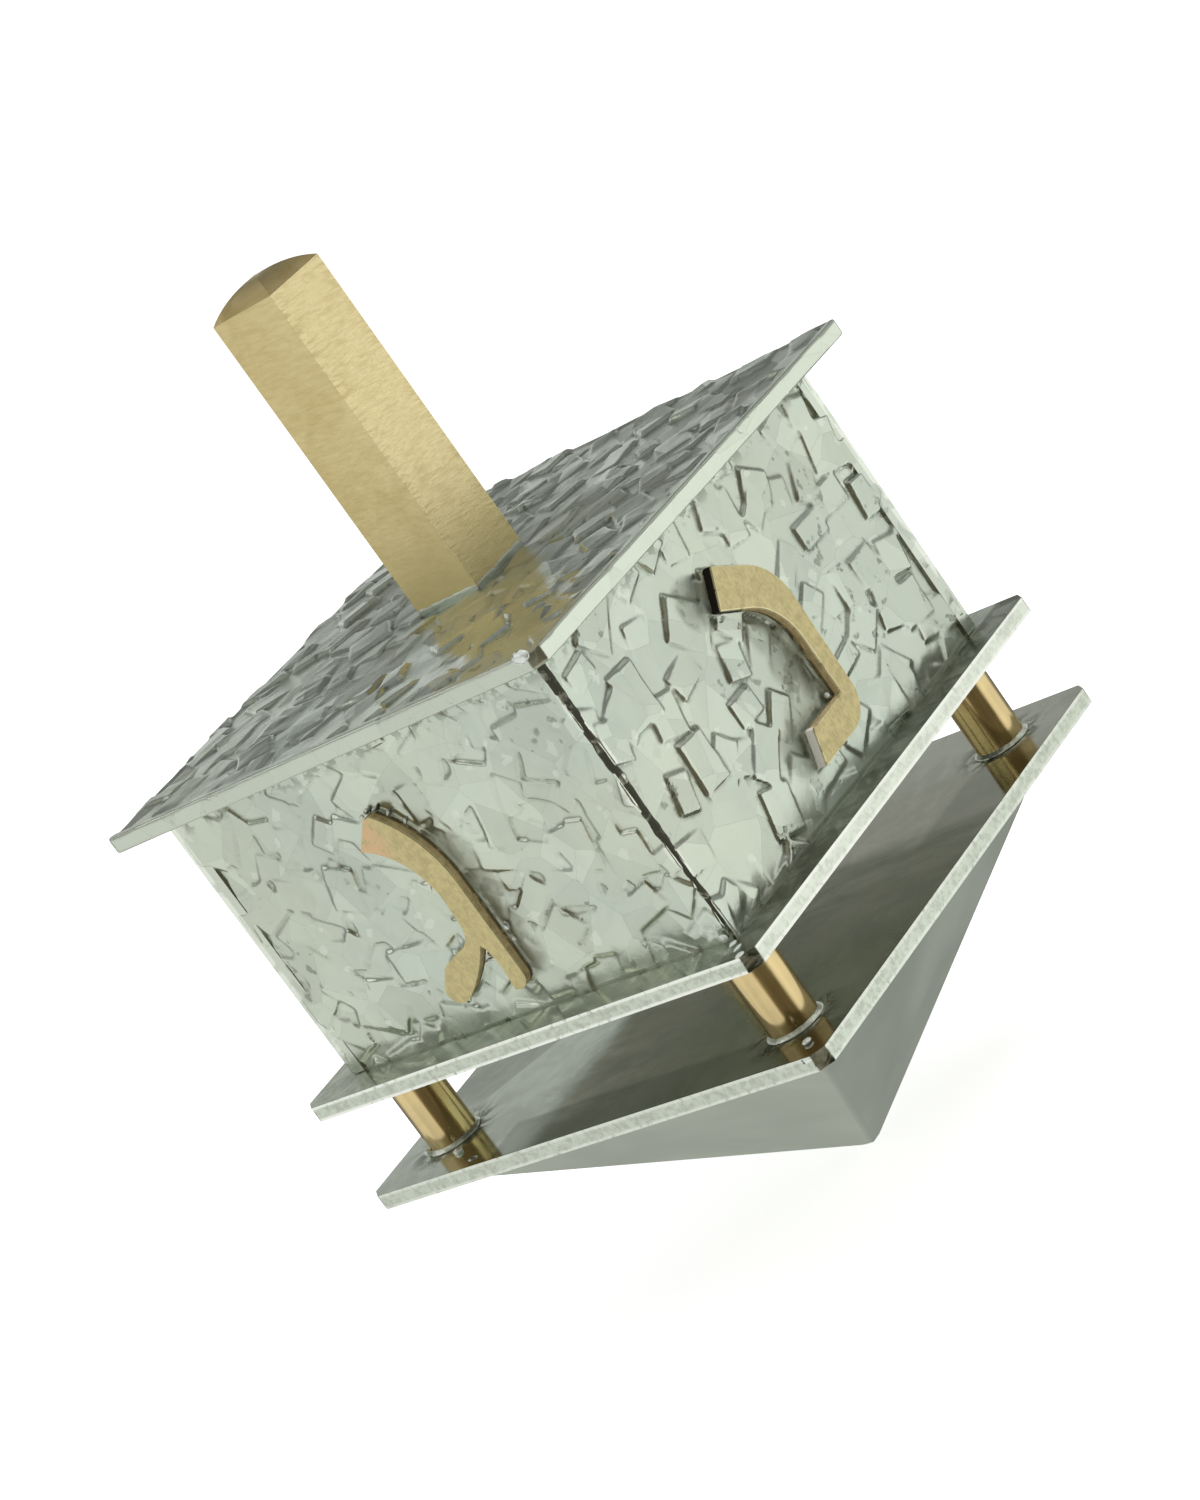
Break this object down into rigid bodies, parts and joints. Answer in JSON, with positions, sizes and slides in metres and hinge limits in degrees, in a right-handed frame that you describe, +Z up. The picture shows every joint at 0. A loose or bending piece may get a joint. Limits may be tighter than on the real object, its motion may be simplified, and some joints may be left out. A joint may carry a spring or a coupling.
{
  "type": "dreidel",
  "caption": "Square four-sided spinning top of soldered metal plates: textured box with raised letters, roof and deck plates on posts, a pyramid point and a square bar to spin it by.",
  "frame": {"origin": "the tip of the point, on the spin axis, where the upright top touches the table", "axes": "+Z up the spin axis from the tip to the bar's domed end; -Y out of the wall that carries nun; -X out of the wall that carries gimel"},
  "size_m": [0.046, 0.046, 0.0788],
  "materials": {
    "plate_metal": "smooth polished plate with filed corners",
    "point_metal": "satin, with softened ridges",
    "chipped_metal": "satin, with a raised pattern of tilted square chips",
    "solder": "bright solder fillet",
    "polished_brass": "polished brass",
    "satin_brass": "brushed brass"
  },
  "bodies": {
    "root": {"point": "point_metal", "deck_plate": "plate_metal", "post_1": "polished_brass", "post_2": "polished_brass", "post_3": "polished_brass", "post_4": "polished_brass", "solder_ring_1": "solder", "solder_ring_2": "solder", "solder_ring_3": "solder", "solder_ring_4": "solder", "floor_plate": "plate_metal", "nun_wall": "chipped_metal", "gimel_wall": "chipped_metal", "he_wall": "chipped_metal", "shin_wall": "chipped_metal", "nun_letter": "satin_brass", "gimel_letter": "satin_brass", "he_letter": "satin_brass", "he_leg": "satin_brass", "shin_letter": "satin_brass", "roof_plate": "plate_metal", "handle": "polished_brass"}
  },
  "joints": []
}
